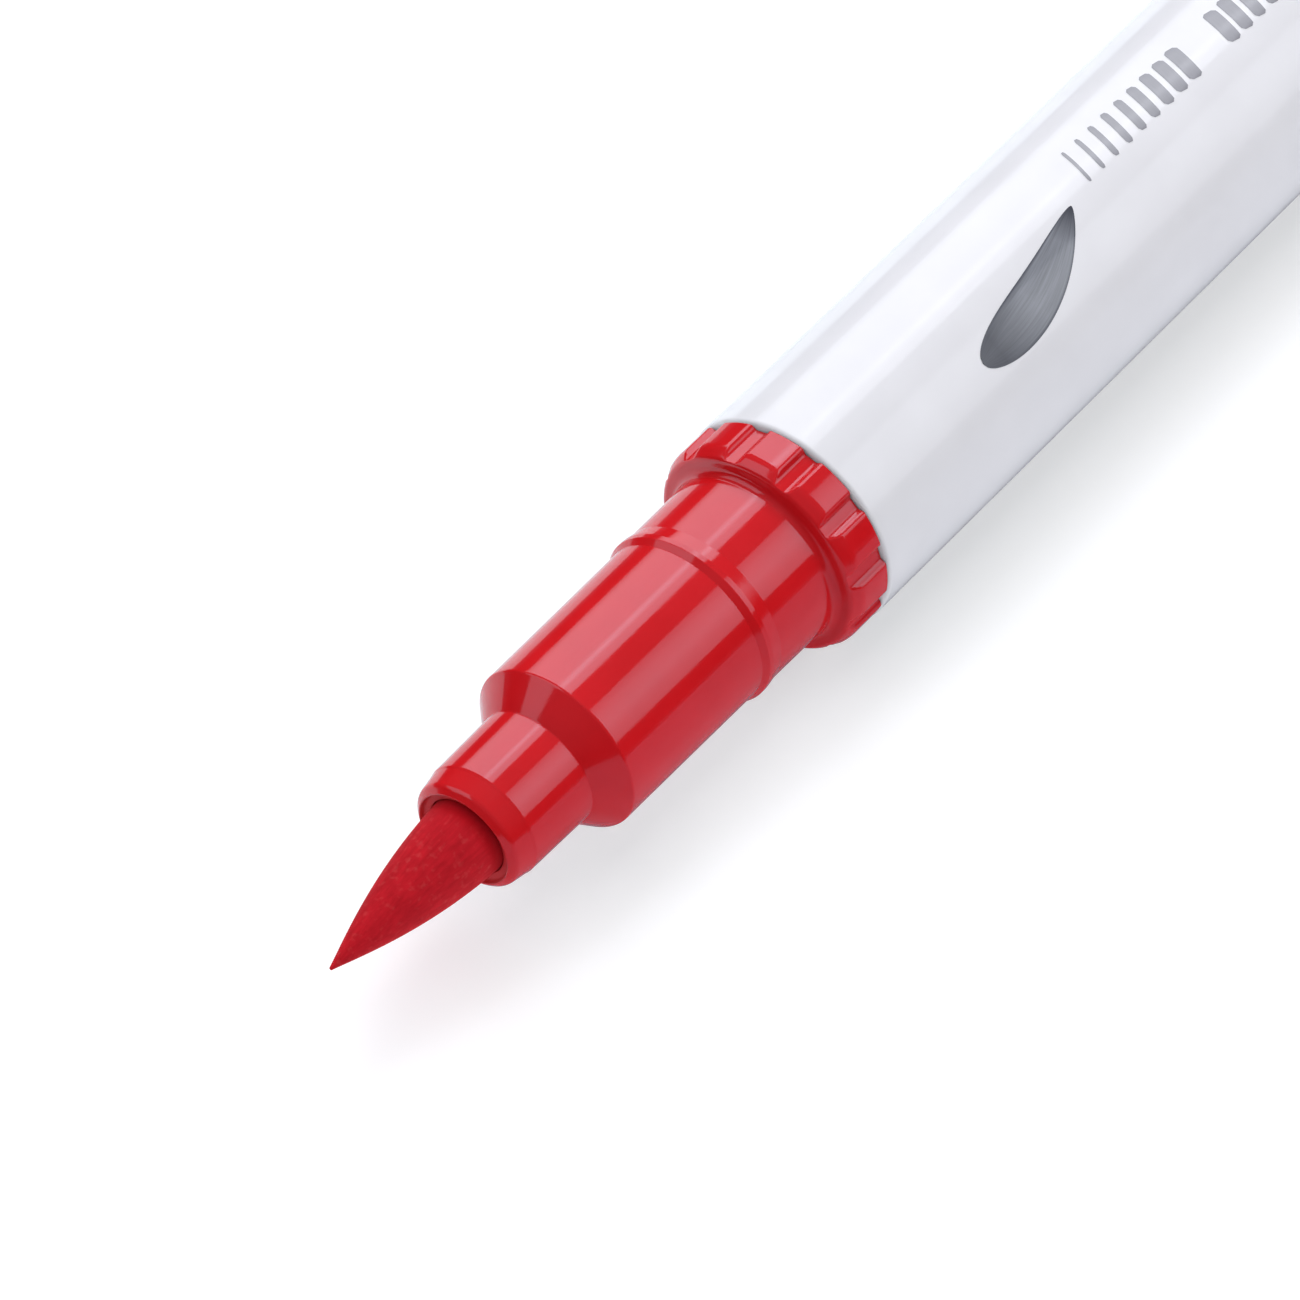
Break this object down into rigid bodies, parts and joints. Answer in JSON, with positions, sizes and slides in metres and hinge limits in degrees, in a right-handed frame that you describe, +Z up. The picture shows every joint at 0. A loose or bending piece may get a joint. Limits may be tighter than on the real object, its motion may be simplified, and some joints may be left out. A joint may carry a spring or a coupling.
{
  "type": "brush pen",
  "caption": "Felt brush pen lying on its side, with a pointed brush nib, a stepped nose with a scalloped collar, a round barrel and a clip cap posted on its tail.",
  "frame": {"origin": "on the table, in the middle of the footprint of the pen as it lies on its side with the cap posted", "axes": "+X along the pen from the brush tip to the closed end of the posted cap, +Z up from the table, +Y across the pen away from the clip"},
  "size_m": [0.1612, 0.013, 0.011],
  "materials": {
    "red_plastic": "polished mould finish, red like the ink",
    "white_plastic": "polished white moulding",
    "nib_felt": "fine bonded fibre soaked with red ink, matte",
    "natural_plastic": "uncoloured moulding, satin",
    "soaked_fibre": "bundled polyester fibre soaked with red ink",
    "wrap_film": "thin clear film with the red core showing through",
    "print_ink": "grey and black printed ink on the barrel"
  },
  "bodies": {
    "pen": {"brush_nib": "nib_felt", "nib_sleeve": "natural_plastic", "nose_section": "red_plastic", "barrel": "white_plastic", "reservoir_core": "soaked_fibre", "reservoir_film": "wrap_film", "tail_plug": "red_plastic"},
    "cap": {"cap_shell": "red_plastic", "cap_seal_cup": "natural_plastic", "cap_crown": "red_plastic", "cap_clip": "red_plastic"}
  },
  "joints": [
    {"name": "cap_pull", "type": "slide", "parent": "pen", "child": "cap", "axis": [1, 0, 0], "range_m": [0, 0.0087]}
  ]
}
